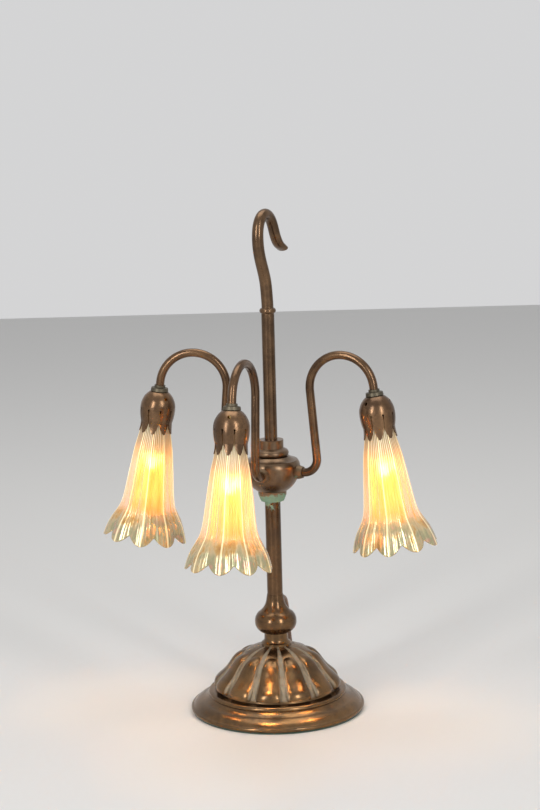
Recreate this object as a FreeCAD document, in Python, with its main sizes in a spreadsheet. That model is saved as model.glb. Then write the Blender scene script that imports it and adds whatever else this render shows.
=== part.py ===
import FreeCAD, Part
import math
import os
import Sketcher
from FreeCAD import Placement, Rotation, Vector

# Three-light tulip shade table lamp. Millimetres, +Z up, origin on the stem's axis at the table.
# The viewer stands on the -Y side. Arm bearings are counted from -Y, positive towards +X.

doc = FreeCAD.newDocument("tulip_shade_lamp")
sheet = doc.addObject("Spreadsheet::Sheet", "dims")

SIZES = {
    # foot: felt, weight and the cast gadrooned dome
    "felt_radius": 82.4, "felt_thick": 1.5,
    "lip_foot_radius": 82.6, "lip_top_radius": 82.8, "lip_top_z": 5.4, "lip_round": 2.4,
    "step_radius": 81.2, "step_z": 6.0,
    "ogee_radius": 73.5, "ogee_z": 11.7, "ogee_round": 16.0,
    "cove_radius": 66.2, "cove_z": 16.0, "cove_round": 13.0,
    "astragal_radius": 63.4, "astragal_z": 20.2, "astragal_round": 2.7,
    "dome_foot_radius": 57.5, "dome_foot_z": 20.8,
    "dome_mid_radius": 44.0, "dome_mid_z": 43.2, "dome_low_round": 42.0,
    "dome_top_radius": 15.0, "dome_top_z": 62.5, "dome_high_round": 42.0,
    "wall": 2.0, "pipe_hole_radius": 5.2,
    "lobe_count": 12, "lobe_bearing": 6.0,
    "weight_radius": 64.0, "weight_edge_z": 11.0, "weight_top_z": 18.0, "weight_boss_radius": 20.0,
    "weight_recess_z": 9.0, "weight_recess_radius": 14.0,
    "washer_radius": 12.0, "washer_thick": 1.5, "nut_across": 16.0, "nut_height": 4.0,
    # turned stem: collar, knop, tube and the threaded pipe that ties them
    "collar_flange_radius": 14.1, "collar_flange_z": 65.6, "collar_cove_radius": 11.4,
    "collar_cove_z": 69.4, "collar_cove_round": 4.4, "collar_top_z": 75.5,
    "knop_foot_radius": 11.9, "knop_radius": 20.05, "knop_z": 86.5, "knop_low_round": 10.5,
    "knop_shoulder_radius": 16.6, "knop_shoulder_z": 95.0, "knop_high_round": 11.5,
    "knop_neck_radius": 8.7, "knop_neck_z": 107.0, "knop_neck_round": 18.0,
    "knop_top_radius": 7.7, "knop_top_z": 113.0,
    "stem_radius": 7.45, "stem_top_z": 205.0, "stem_bore_radius": 6.2,
    "pipe_radius": 5.0, "pipe_bore_radius": 3.6, "pipe_foot_z": 3.0, "pipe_top_z": 222.6,
    # hub
    "cup_lip_radius": 11.0, "cup_lip_z": 206.2, "cup_waist_radius": 13.4, "cup_waist_z": 211.0,
    "cup_top_radius": 13.6, "cup_top_z": 215.0,
    "hub_low_radius": 14.6, "hub_radius": 27.0, "hub_z": 237.5, "hub_low_round": 27.0,
    "hub_shoulder_radius": 24.6, "hub_shoulder_z": 244.6, "hub_high_round": 9.0,
    "hub_ledge_radius": 17.0, "hub_top_z": 248.0, "hub_ledge_round": 14.0,
    "hub_wall": 3.2, "hub_throat_radius": 9.0, "hub_floor_z": 218.4,
    "cap_ring_radius": 14.2, "cap_ring_top_z": 254.6, "cap_ring_round": 3.5,
    "cap_collar_radius": 11.7, "cap_collar_foot_z": 256.0, "cap_collar_top_z": 264.0,
    "cap_socket_z": 252.0, "connector_radius": 7.0, "connector_foot_z": 224.0, "connector_top_z": 242.0,
    # upper rod and hook
    "rod_radius": 6.1, "rod_top_z": 384.5, "bead_radius": 7.9, "bead_height": 5.0,
    "bead_round": 2.7, "hook_foot_radius": 5.6, "hook_crown_radius": 5.3, "hook_bearing": 62.0,
    "hook_tip_wide": 6.0, "hook_tip_thick": 3.2,
    # arms
    "arm_radius": 4.0, "arm_bore_radius": 2.9, "arm_entry_radius": 24.2, "arm_entry_z": 234.0,
    "arm_bend": 13.5, "arch_centre_radius": 73.0, "arch_centre_z": 315.5, "arch_round": 32.0,
    "leg_lean": 5.0, "shade_tilt": 7.5, "arm_drop": 12.0,
    "bearing_left": -98.0, "bearing_middle": -19.0, "bearing_right": 66.0,
    "boss_inner_radius": 25.4, "boss_radius": 6.6, "boss_neck_radius": 5.4, "boss_length": 7.0,
    "boss_step": 3.0, "wire_radius": 1.3,
    # husk group, measured down the shade's own axis from the top of its collar nut
    "collar_drop": 3.0, "nut_neck_radius": 5.2, "nut_neck_end": 2.0, "nut_radius": 7.9,
    "nut_foot_radius": 8.4, "nut_end": 6.5,
    "husk_shoulder_radius": 8.8, "husk_radius": 16.5, "husk_belly": 20.0, "husk_top_round": 19.0,
    "husk_waist_radius": 14.9, "husk_waist": 35.5, "husk_belly_round": 46.0,
    "husk_tip_radius": 15.9, "husk_tip": 45.5, "husk_flare_round": 40.0, "husk_wall": 0.9,
    "petal_count": 9, "slit_top": 23.0, "slit_width": 0.9, "slit_end": 36.0, "slit_drill": 1.9,
    "vent_count": 3, "vent_diameter": 3.0, "vent_drop": 11.5,
    "socket_radius": 9.4, "socket_wall": 0.8, "socket_top": 9.0, "socket_end": 32.0,
    "core_radius": 8.5, "core_end": 30.0, "core_bore_radius": 6.3, "core_floor": 14.0,
    "bulb_cap_radius": 6.0, "bulb_cap_top": 14.6, "bulb_cap_end": 32.5, "bulb_tip_radius": 2.2,
    "bulb_tip_top": 14.0, "bulb_neck_radius": 5.6, "bulb_neck_end": 36.0, "bulb_radius": 10.3,
    "bulb_belly": 56.0, "bulb_low_round": 40.0, "bulb_end": 82.0, "bulb_tip_flat": 1.2, "bulb_end_round": 37.0,
    # shade
    "shade_glass": 2.2, "shade_lobes": 9,
    # cord
    "cord_radius": 2.5, "bushing_radius": 4.0, "bushing_flange_radius": 4.9, "bushing_bearing": 25.0,
    "bushing_z": 107.0, "bushing_bore_radius": 2.6, "bushing_mouth": 10.6, "bushing_flange": 1.6,
    "coil_x": 0.0, "coil_y": 143.0, "coil_radius": 38.5, "coil_bore_radius": 18.5, "coil_height": 10.0,
    "switch_x": -15.0, "switch_y": 94.8, "switch_length": 33.0, "switch_width": 15.0,
    "switch_height": 12.0, "switch_corner": 4.0, "wheel_radius": 7.6, "wheel_thick": 3.8,
    "wheel_offset": 2.4, "wheel_slot": 4.6, "wheel_slot_radius": 8.3, "pin_radius": 1.2,
    "pin_clearance": 0.05, "plug_x": -5.0, "plug_y": 118.0, "plug_length": 22.0, "plug_width": 20.0,
    "plug_height": 12.0, "plug_round": 4.0, "blade_length": 16.0, "blade_width": 6.3,
    "blade_thick": 1.5, "blade_gap": 12.7,
}

for row, (alias, value) in enumerate(SIZES.items(), start=1):
    sheet.set("A%d" % row, alias)
    sheet.set("B%d" % row, str(value))
    sheet.setAlias("B%d" % row, alias)
doc.recompute()

# Crest of one gadroon, top to bottom: radius, height, half width, swell above the dome.
GADROON = [
    (17.0, 61.7, 2.6, 0.9), (31.0, 55.2, 5.6, 1.9), (43.0, 44.6, 9.2, 2.9),
    (51.5, 32.8, 11.8, 4.0), (56.2, 26.0, 12.6, 5.2), (57.2, 22.6, 11.4, 4.4),
]

# Bent hook in its own plane: offset towards the tip, height.
HOOK_LINE = [
    (0.0, 389.0), (-0.8, 400.0), (-3.2, 415.0), (-9.6, 431.0), (-14.6, 445.0), (-15.9, 456.0),
    (-14.0, 467.5), (-8.0, 475.2), (0.5, 477.3), (9.0, 473.0), (14.8, 464.4), (19.2, 455.0),
    (25.0, 447.4), (33.0, 442.6),
]

# Wall of one shade, neck to rim: distance down its axis, mean radius, flute depth, rim scallop.
SHADE_RINGS = [
    (27.0, 13.2, 0.0, 0.0), (36.0, 13.8, 0.1, 0.0), (47.0, 14.9, 0.35, 0.0), (62.0, 17.5, 0.6, 0.0),
    (82.0, 20.2, 0.75, 0.0), (102.0, 22.6, 0.8, 0.0), (115.0, 24.7, 0.9, 0.0),
    (126.0, 28.2, 1.2, 0.4), (135.0, 33.0, 1.7, 1.4), (142.0, 36.8, 2.2, 2.8),
    (145.0, 37.9, 2.3, 3.8),
]

# Cord from the bushing over the back of the dome to the switch, to the coil, and to the plug.
LEAD_ROUTE = [
    (4.48, 9.61, 107.0), (8.4, 18.6, 105.5), (10.5, 27.6, 96.0), (11.6, 36.0, 81.0),
    (12.2, 44.5, 64.0), (13.4, 53.0, 48.0), (16.0, 61.5, 34.0), (19.0, 70.0, 22.0),
    (21.0, 78.8, 12.6), (19.2, 86.0, 6.8), (14.6, 91.6, 4.2), (8.0, 94.8, 4.4), (1.0, 94.8, 6.0),
]
LINK_ROUTE = [
    (-31.0, 94.8, 6.0), (-37.6, 94.9, 4.8), (-44.2, 98.6, 3.2), (-48.2, 105.4, 2.6),
    (-48.4, 113.6, 2.6), (-44.8, 123.0, 2.6), (-37.6, 132.4, 2.6),
]
TAIL_ROUTE = [
    (35.8, 140.0, 7.6), (34.2, 131.6, 9.8), (28.8, 124.0, 12.2), (20.6, 119.4, 14.6),
    (11.4, 118.0, 16.0), (5.0, 118.0, 16.0),
]


def size(alias):
    """Value of one cell of the sheet."""
    return float(sheet.get(alias))


def cell(text):
    """Sheet expression from plain words: every known alias gets the sheet's name."""
    words = text.replace("(", "( ").replace(")", " )").split()
    return " ".join("dims." + word if word in SIZES else word for word in words)


def body_named(label, placement=None):
    body = doc.addObject("PartDesign::Body", label)
    body.Label = label
    if placement is not None:
        body.Placement = placement
    return body


def origin_plane(body, role):
    return next(item for item in body.Origin.OriginFeatures if item.Role == role)


def sketch_on(body, role, name, offset=None):
    sketch = body.newObject("Sketcher::SketchObject", name)
    sketch.AttachmentSupport = (origin_plane(body, role), [""])
    sketch.MapMode = "FlatFace"
    if offset is not None:
        sketch.AttachmentOffset = offset
    return sketch


def pin_point(sketch, geometry, end, across, up):
    """Fix one point by two sheet expressions, or on an axis where the value is zero."""
    for kind, text, axis in (("DistanceX", across, -2), ("DistanceY", up, -1)):
        value = float(sheet.evalExpression(cell(text)))
        if abs(value) < 1e-9:
            sketch.addConstraint(Sketcher.Constraint("PointOnObject", geometry, end, axis))
            continue
        index = sketch.addConstraint(Sketcher.Constraint(kind, -1, 1, geometry, end, value))
        sketch.setExpression("Constraints[%d]" % index, cell(text))


def arc_between(start, finish, radius):
    """Shorter arc from start to finish; a positive radius turns left, a negative one right."""
    chord = finish.sub(start)
    half = chord.Length / 2.0
    left = Vector(-chord.y, chord.x, 0).normalize()
    reach = math.sqrt(radius * radius - half * half)
    centre = (start + finish) * 0.5 + left * math.copysign(reach, radius)
    first, last = (start, finish) if radius > 0 else (finish, start)
    angle_first = math.atan2(first.y - centre.y, first.x - centre.x)
    angle_last = math.atan2(last.y - centre.y, last.x - centre.x)
    circle = Part.Circle(centre, Vector(0, 0, 1), abs(radius))
    return Part.ArcOfCircle(circle, angle_first, angle_last)


def draw_outline(sketch, steps):
    """Closed outline from (across, up) or (across, up, arc) steps, all sheet expressions."""
    points = []
    for step in steps:
        values = [float(sheet.evalExpression(cell(text))) for text in step[:2]]
        points.append(Vector(values[0], values[1], 0))
    ends = []
    for index, step in enumerate(steps):
        start, finish = points[index - 1], points[index]
        if len(step) == 2:
            geometry = sketch.addGeometry(Part.LineSegment(start, finish))
            ends.append((geometry, 1, 2))
            continue
        radius = float(sheet.evalExpression(cell(step[2])))
        geometry = sketch.addGeometry(arc_between(start, finish, radius))
        ends.append((geometry, 1, 2) if radius > 0 else (geometry, 2, 1))
    for index, (geometry, first, last) in enumerate(ends):
        following, entry, _ = ends[(index + 1) % len(ends)]
        sketch.addConstraint(Sketcher.Constraint("Coincident", geometry, last, following, entry))
        pin_point(sketch, geometry, last, steps[index][0], steps[index][1])
        if len(steps[index]) == 3:
            radius = abs(float(sheet.evalExpression(cell(steps[index][2]))))
            mark = sketch.addConstraint(Sketcher.Constraint("Radius", geometry, radius))
            sketch.setExpression("Constraints[%d]" % mark, "abs( " + cell(steps[index][2]) + " )")


def turned(label, steps, placement=None):
    """Piece of revolution about its own Z axis."""
    body = body_named(label, placement)
    sketch = sketch_on(body, "XZ_Plane", label + "_outline")
    draw_outline(sketch, steps)
    turn = body.newObject("PartDesign::Revolution", label + "_turn")
    turn.Profile = sketch
    turn.ReferenceAxis = (sketch, ["V_Axis"])
    turn.Angle = 360
    doc.recompute()
    return body


def ring_sketch(body, role, name, offset, radii):
    """Concentric circles about the sketch's origin, one for each sheet alias."""
    sketch = sketch_on(body, role, name, offset)
    for alias in radii:
        circle = sketch.addGeometry(Part.Circle(Vector(), Vector(0, 0, 1), size(alias)))
        sketch.addConstraint(Sketcher.Constraint("Coincident", circle, 3, -1, 1))
        mark = sketch.addConstraint(Sketcher.Constraint("Radius", circle, size(alias)))
        sketch.setExpression("Constraints[%d]" % mark, "dims." + alias)
    return sketch


def pocket(body, sketch, name, length=None):
    """Cut along the sketch's normal; with no length the cut goes on without end."""
    before = body.Shape.Volume
    cut = body.newObject("PartDesign::Pocket", name)
    cut.Profile = sketch
    cut.Reversed = True
    if length is None:
        cut.Type = "ThroughAll"
    else:
        cut.Type = "Length"
        cut.setExpression("Length", cell(length))
    doc.recompute()
    if body.Shape.Volume > before - 0.01:
        raise ValueError(name + " cuts nothing")
    return cut


def repeat_round(body, feature, name, alias):
    """Copies of a feature evenly spaced about the body's Z axis."""
    pattern = body.newObject("PartDesign::PolarPattern", name)
    pattern.Originals = [feature]
    axis = next(item for item in body.Origin.OriginFeatures if item.Role == "Z_Axis")
    pattern.Axis = (axis, [""])
    pattern.Angle = 360
    pattern.setExpression("Occurrences", "dims." + alias)
    body.Tip = pattern
    doc.recompute()


def lock_nut(label, level):
    """Hexagon nut on the lamp pipe with its lower face at the given height."""
    nut = body_named(label)
    sketch = ring_sketch(nut, "XY_Plane", label + "_outline", Placement(Vector(0, 0, level), Rotation()),
                         ["pipe_radius"])
    corner = size("nut_across") / math.sqrt(3)
    corners = [Vector(corner * math.cos(math.radians(60 * step)),
                      corner * math.sin(math.radians(60 * step)), 0) for step in range(6)]
    flats = [sketch.addGeometry(Part.LineSegment(corners[step], corners[(step + 1) % 6]))
             for step in range(6)]
    ring = sketch.addGeometry(Part.Circle(Vector(), Vector(0, 0, 1), corner), True)
    sketch.addConstraint(Sketcher.Constraint("Coincident", ring, 3, -1, 1))
    mark = sketch.addConstraint(Sketcher.Constraint("Radius", ring, corner))
    sketch.setExpression("Constraints[%d]" % mark, "dims.nut_across / sqrt( 3 )")
    for step in range(6):
        sketch.addConstraint(Sketcher.Constraint("Coincident", flats[step], 2, flats[(step + 1) % 6], 1))
        sketch.addConstraint(Sketcher.Constraint("PointOnObject", flats[step], 1, ring))
    for step in range(5):
        sketch.addConstraint(Sketcher.Constraint("Equal", flats[step], flats[step + 1]))
    sketch.addConstraint(Sketcher.Constraint("PointOnObject", flats[0], 1, -1))
    pad = nut.newObject("PartDesign::Pad", label + "_pad")
    pad.Profile = sketch
    pad.setExpression("Length", "dims.nut_height")
    doc.recompute()


# ---- foot -------------------------------------------------------------------------------------

def make_foot():
    turned("felt_pad", [("0", "0"), ("felt_radius", "0"), ("felt_radius", "felt_thick"),
                        ("0", "felt_thick")])
    shell = turned("base_shell", [
        ("lip_foot_radius - wall", "felt_thick"), ("lip_foot_radius", "felt_thick"),
        ("lip_top_radius", "lip_top_z", "lip_round"), ("step_radius", "step_z"),
        ("ogee_radius", "ogee_z", "ogee_round"), ("cove_radius", "cove_z", "0 - cove_round"),
        ("astragal_radius", "astragal_z", "astragal_round"),
        ("dome_foot_radius", "dome_foot_z"),
        ("dome_mid_radius", "dome_mid_z", "dome_low_round"),
        ("dome_top_radius", "dome_top_z", "dome_high_round"),
        ("pipe_hole_radius", "dome_top_z"), ("pipe_hole_radius", "dome_top_z - wall"),
        ("dome_top_radius - 1", "dome_top_z - wall"),
        ("dome_mid_radius - wall", "dome_mid_z - 1", "0 - dome_high_round"),
        ("dome_foot_radius - wall", "dome_foot_z - 1", "0 - dome_low_round"),
        ("cove_radius - 2.5", "cove_z - wall"), ("ogee_radius - 1", "ogee_z - wall - 0.6"),
        ("step_radius - 1.5", "step_z - wall"),
    ])
    sections = []
    for index, (radius, height, width, swell) in enumerate(GADROON):
        before = GADROON[max(index - 1, 0)]
        after = GADROON[min(index + 1, len(GADROON) - 1)]
        fall = math.degrees(math.atan2(before[1] - after[1], after[0] - before[0]))
        # the section's plane stands square to the dome's line, its second axis points outwards
        tilt = Rotation(Vector(0, 0, 1), size("lobe_bearing") - 75) * Rotation(Vector(0, 1, 0), fall)
        frame = tilt * Rotation(Vector(0, 1, 0), Vector(0, 0, 1), Vector(1, 0, 0), "ZXY")
        place = Placement(Rotation(Vector(0, 0, 1), size("lobe_bearing") - 75)
                          .multVec(Vector(radius, 0, height)), frame)
        sketch = sketch_on(shell, "XY_Plane", "gadroon_section_%d" % index, place)
        ellipse = Part.Ellipse(Vector(), width, swell)
        sketch.addGeometry(ellipse)
        sections.append(sketch)
    lobe = shell.newObject("PartDesign::AdditiveLoft", "gadroon")
    lobe.Profile = sections[0]
    lobe.Sections = sections[1:]
    doc.recompute()
    repeat_round(shell, lobe, "gadroons", "lobe_count")
    turned("base_weight", [
        ("pipe_hole_radius", "weight_recess_z"), ("weight_recess_radius", "weight_recess_z"),
        ("weight_boss_radius", "felt_thick"), ("weight_radius", "felt_thick"),
        ("weight_radius", "weight_edge_z"), ("weight_boss_radius", "weight_top_z"),
        ("pipe_hole_radius", "weight_top_z"),
    ])
    turned("base_washer", [
        ("pipe_hole_radius", "weight_recess_z - washer_thick"),
        ("washer_radius", "weight_recess_z - washer_thick"), ("washer_radius", "weight_recess_z"),
        ("pipe_hole_radius", "weight_recess_z"),
    ])
    lock_nut("base_lock_nut", size("weight_recess_z") - size("washer_thick") - size("nut_height"))


# ---- stem -------------------------------------------------------------------------------------

def exit_plane(reach):
    """Sketch offset on the YZ plane that looks along the cord's way out of the knop."""
    return Placement(Vector(), Rotation(Vector(0, 1, 0), 90 - size("bushing_bearing"))) * Placement(
        Vector(0, size("bushing_z"), reach), Rotation())


def make_stem():
    turned("neck_collar", [
        ("pipe_hole_radius", "dome_top_z"), ("collar_flange_radius", "dome_top_z"),
        ("collar_flange_radius", "collar_flange_z"),
        ("collar_cove_radius", "collar_cove_z", "0 - collar_cove_round"),
        ("knop_foot_radius - 0.6", "collar_top_z"), ("pipe_hole_radius", "collar_top_z"),
    ])
    knop = turned("stem_knop", [
        ("pipe_hole_radius", "collar_top_z"), ("knop_foot_radius", "collar_top_z"),
        ("knop_radius", "knop_z", "knop_low_round"),
        ("knop_shoulder_radius", "knop_shoulder_z", "knop_high_round"),
        ("knop_neck_radius", "knop_neck_z", "0 - knop_neck_round"),
        ("knop_top_radius", "knop_top_z"), ("pipe_hole_radius", "knop_top_z"),
    ])
    way_out = ring_sketch(knop, "YZ_Plane", "cord_hole", exit_plane(0.0), ["bushing_radius"])
    pocket(knop, way_out, "cord_hole_cut")
    turned("stem_tube", [
        ("stem_bore_radius", "knop_top_z"), ("stem_radius", "knop_top_z"),
        ("stem_radius", "stem_top_z"), ("stem_bore_radius", "stem_top_z"),
    ])
    pipe = turned("lamp_pipe", [
        ("pipe_bore_radius", "pipe_foot_z"), ("pipe_radius", "pipe_foot_z"),
        ("pipe_radius", "pipe_top_z"), ("pipe_bore_radius", "pipe_top_z"),
    ])
    slot = ring_sketch(pipe, "YZ_Plane", "wire_hole", exit_plane(0.0), ["bushing_bore_radius"])
    pocket(pipe, slot, "wire_hole_cut")
    turn_out = Rotation(Vector(0, 0, 1), 90 - size("bushing_bearing")) * Rotation(Vector(0, 1, 0), 90)
    spot = Placement(Vector(0, 0, size("bushing_z")), turn_out)
    turned("cord_bushing", [
        ("bushing_bore_radius", "pipe_radius + 0.4"), ("bushing_radius", "pipe_radius + 0.4"),
        ("bushing_radius", "bushing_mouth - bushing_flange"),
        ("bushing_flange_radius", "bushing_mouth - bushing_flange"),
        ("bushing_flange_radius", "bushing_mouth"), ("bushing_bore_radius", "bushing_mouth"),
    ], spot)


# ---- hub --------------------------------------------------------------------------------------

def bearing_angle(side):
    """Angle of an arm's plane about Z, from +X."""
    return size("bearing_" + side) - 90


def make_hub():
    turned("hub_cup", [
        ("pipe_radius", "stem_top_z"), ("cup_lip_radius", "stem_top_z"),
        ("cup_lip_radius + 0.6", "cup_lip_z"), ("cup_waist_radius", "cup_waist_z"),
        ("cup_top_radius", "cup_top_z"), ("pipe_radius", "cup_top_z"),
    ])
    hub = turned("hub_body", [
        ("pipe_hole_radius", "cup_top_z"), ("hub_low_radius", "cup_top_z"),
        ("hub_radius", "hub_z", "hub_low_round"),
        ("hub_shoulder_radius", "hub_shoulder_z", "hub_high_round"),
        ("hub_ledge_radius", "hub_top_z", "0 - hub_ledge_round"),
        ("hub_throat_radius", "hub_top_z"), ("hub_throat_radius", "hub_shoulder_z"),
        ("hub_shoulder_radius - hub_wall", "hub_shoulder_z - 1"),
        ("hub_radius - hub_wall", "hub_z", "0 - hub_high_round"),
        ("hub_low_radius", "hub_floor_z", "0 - hub_low_round"), ("pipe_hole_radius", "hub_floor_z"),
    ])
    for side in SIDES:
        offset = Placement(Vector(), Rotation(Vector(0, 1, 0), bearing_angle(side))) * Placement(
            Vector(0, size("arm_entry_z"), 0), Rotation())
        hole = ring_sketch(hub, "YZ_Plane", "arm_hole_" + side, offset, ["arm_radius"])
        pocket(hub, hole, "arm_hole_cut_" + side)
    turned("hub_cap", [
        ("0", "hub_top_z"), ("cap_ring_radius", "hub_top_z"),
        ("cap_ring_radius", "cap_ring_top_z", "cap_ring_round"),
        ("cap_collar_radius", "cap_collar_foot_z"), ("cap_collar_radius", "cap_collar_top_z"),
        ("rod_radius", "cap_collar_top_z"), ("rod_radius", "cap_socket_z"), ("0", "cap_socket_z"),
    ])
    lock_nut("hub_lock_nut", size("hub_floor_z"))
    turned("wire_connector", [
        ("0", "connector_foot_z"), ("connector_radius", "connector_foot_z"),
        ("connector_radius", "connector_top_z"), ("0", "connector_top_z"),
    ])


# ---- rod and hook -----------------------------------------------------------------------------

def make_rod():
    turned("upper_rod", [
        ("0", "cap_socket_z"), ("rod_radius", "cap_socket_z"), ("rod_radius", "rod_top_z"),
        ("0", "rod_top_z"),
    ])
    turned("rod_bead", [
        ("0", "rod_top_z"), ("rod_radius", "rod_top_z"),
        ("rod_radius", "rod_top_z + bead_height", "bead_round"), ("0", "rod_top_z + bead_height"),
    ])
    line = Part.BSplineCurve()
    foot = size("rod_top_z") + size("bead_height")
    points = [Vector(0, 0, foot)] + [Vector(out, 0, up) for out, up in HOOK_LINE[1:]]
    last_run = points[-1].sub(points[-2]).normalize()
    line.interpolate(points, InitialTangent=Vector(0, 0, 1), FinalTangent=last_run)
    path = Part.Wire([line.toShape()])

    def section(share, wide, thick):
        at = line.parameterAtDistance(line.length() * share)
        along = Vector(*line.tangent(at)[0])
        side = Vector(0, 1, 0)
        ellipse = Part.Ellipse(line.value(at) + side * wide, line.value(at) + along.cross(side) * thick,
                               line.value(at))
        return Part.Wire([ellipse.toShape()])

    foot_r, crown_r = size("hook_foot_radius"), size("hook_crown_radius")
    sections = [section(0.0, foot_r, foot_r * 0.999), section(0.55, crown_r, crown_r * 0.999),
                section(0.80, crown_r, crown_r * 0.9),
                section(1.0, size("hook_tip_wide"), size("hook_tip_thick"))]
    hook = doc.addObject("Part::Feature", "hook")
    hook.Label = "hook"
    hook.Shape = path.makePipeShell(sections, True, False)
    hook.Placement = Placement(Vector(), Rotation(Vector(0, 0, 1), size("hook_bearing")))


# ---- arms -------------------------------------------------------------------------------------

SIDES = ("left", "middle", "right")


def arm_line():
    """Corner and tangent points of an arm's centre line in its own plane (radius, height)."""
    centre = Vector(size("arch_centre_radius"), size("arch_centre_z"), 0)
    round_arch, bend = size("arch_round"), size("arm_bend")
    lean, tilt = math.radians(size("leg_lean")), math.radians(size("shade_tilt"))
    arch_start = centre + Vector(-math.cos(lean), -math.sin(lean), 0) * round_arch
    arch_end = centre + Vector(math.cos(tilt), math.sin(tilt), 0) * round_arch
    down = Vector(math.sin(lean), -math.cos(lean), 0)
    # the bend's centre sits one bend radius above the entry line and inside the leg
    bend_centre_up = size("arm_entry_z") + bend
    inward = Vector(-math.cos(lean), -math.sin(lean), 0)
    reach = (bend_centre_up - arch_start.y - inward.y * bend) / down.y
    leg_end = arch_start + down * reach
    bend_centre = leg_end + inward * bend
    bend_start = Vector(bend_centre.x, size("arm_entry_z"), 0)
    drop_end = arch_end + Vector(math.sin(tilt), -math.cos(tilt), 0) * size("arm_drop")
    return bend_start, bend_centre, leg_end, arch_start, centre, arch_end, drop_end


def arm_path_sketch(body):
    bend_start, bend_centre, leg_end, arch_start, centre, arch_end, drop_end = arm_line()
    start = Vector(size("arm_entry_radius"), size("arm_entry_z"), 0)
    sketch = sketch_on(body, "XZ_Plane", body.Label + "_line")
    lean, tilt = math.radians(size("leg_lean")), math.radians(size("shade_tilt"))
    normal = Vector(0, 0, 1)
    run_in = sketch.addGeometry(Part.LineSegment(start, bend_start))
    bend_circle = Part.Circle(bend_centre, normal, size("arm_bend"))
    bend = sketch.addGeometry(Part.ArcOfCircle(bend_circle, -math.pi / 2, lean))
    leg = sketch.addGeometry(Part.LineSegment(leg_end, arch_start))
    arch_circle = Part.Circle(centre, normal, size("arch_round"))
    arch = sketch.addGeometry(Part.ArcOfCircle(arch_circle, tilt, math.pi + lean))
    drop = sketch.addGeometry(Part.LineSegment(arch_end, drop_end))
    joints = ((run_in, 2, bend, 1), (bend, 2, leg, 1), (leg, 2, arch, 2), (arch, 1, drop, 1))
    for joint in joints:
        sketch.addConstraint(Sketcher.Constraint("Tangent", *joint))
    pin_point(sketch, run_in, 1, "arm_entry_radius", "arm_entry_z")
    sketch.addConstraint(Sketcher.Constraint("Horizontal", run_in))
    pin_point(sketch, arch, 3, "arch_centre_radius", "arch_centre_z")
    for geometry, alias in ((bend, "arm_bend"), (arch, "arch_round")):
        mark = sketch.addConstraint(Sketcher.Constraint("Radius", geometry, size(alias)))
        sketch.setExpression("Constraints[%d]" % mark, "dims." + alias)
    mark = sketch.addConstraint(Sketcher.Constraint("Distance", drop, size("arm_drop")))
    sketch.setExpression("Constraints[%d]" % mark, "dims.arm_drop")
    return sketch


def make_arm(side, turn):
    arm = body_named("arm_" + side, turn)
    line = arm_path_sketch(arm)
    start = Placement(Vector(0, size("arm_entry_z"), size("arm_entry_radius")), Rotation())
    wall = ring_sketch(arm, "YZ_Plane", "arm_wall_" + side, start, ["arm_radius", "arm_bore_radius"])
    sweep = arm.newObject("PartDesign::AdditivePipe", "arm_tube_" + side)
    sweep.Profile = wall
    sweep.Spine = line
    doc.recompute()
    edge_on = Placement(Vector(0, 0, size("arm_entry_z")), Rotation(Vector(0, 1, 0), 90))
    turned("arm_boss_" + side, [
        ("arm_radius", "boss_inner_radius"), ("boss_radius", "boss_inner_radius"),
        ("boss_radius", "boss_inner_radius + boss_step"),
        ("boss_neck_radius", "boss_inner_radius + boss_length"),
        ("arm_radius", "boss_inner_radius + boss_length"),
    ], turn * edge_on)
    wire = doc.addObject("Part::Feature", "arm_wire_" + side)
    wire.Label = "arm_wire_" + side
    bend_start, bend_centre, leg_end, arch_start, centre, arch_end, drop_end = arm_line()
    lean, tilt = math.radians(size("leg_lean")), math.radians(size("shade_tilt"))
    inner = Vector(size("connector_radius"), size("arm_entry_z"), 0)
    down = drop_end.sub(arch_end).normalize()
    end = arch_end + down * (size("collar_drop") + size("core_floor") - 3.0)

    def up(flat):
        return Vector(flat.x, 0, flat.y)

    def arc(middle, radius, first, last):
        points = [middle + Vector(math.cos(angle), math.sin(angle), 0) * radius
                  for angle in (first, (first + last) / 2, last)]
        return Part.Arc(*[up(point) for point in points]).toShape()

    edges = [
        Part.LineSegment(up(inner), up(bend_start)).toShape(),
        arc(bend_centre, size("arm_bend"), -math.pi / 2, lean),
        Part.LineSegment(up(leg_end), up(arch_start)).toShape(),
        arc(centre, size("arch_round"), math.pi + lean, tilt),
        Part.LineSegment(up(arch_end), up(end)).toShape(),
    ]
    wire.Shape = tube_along(edges, size("wire_radius"))
    wire.Placement = turn


# ---- husk, socket, bulb and shade of one arm --------------------------------------------------

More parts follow.
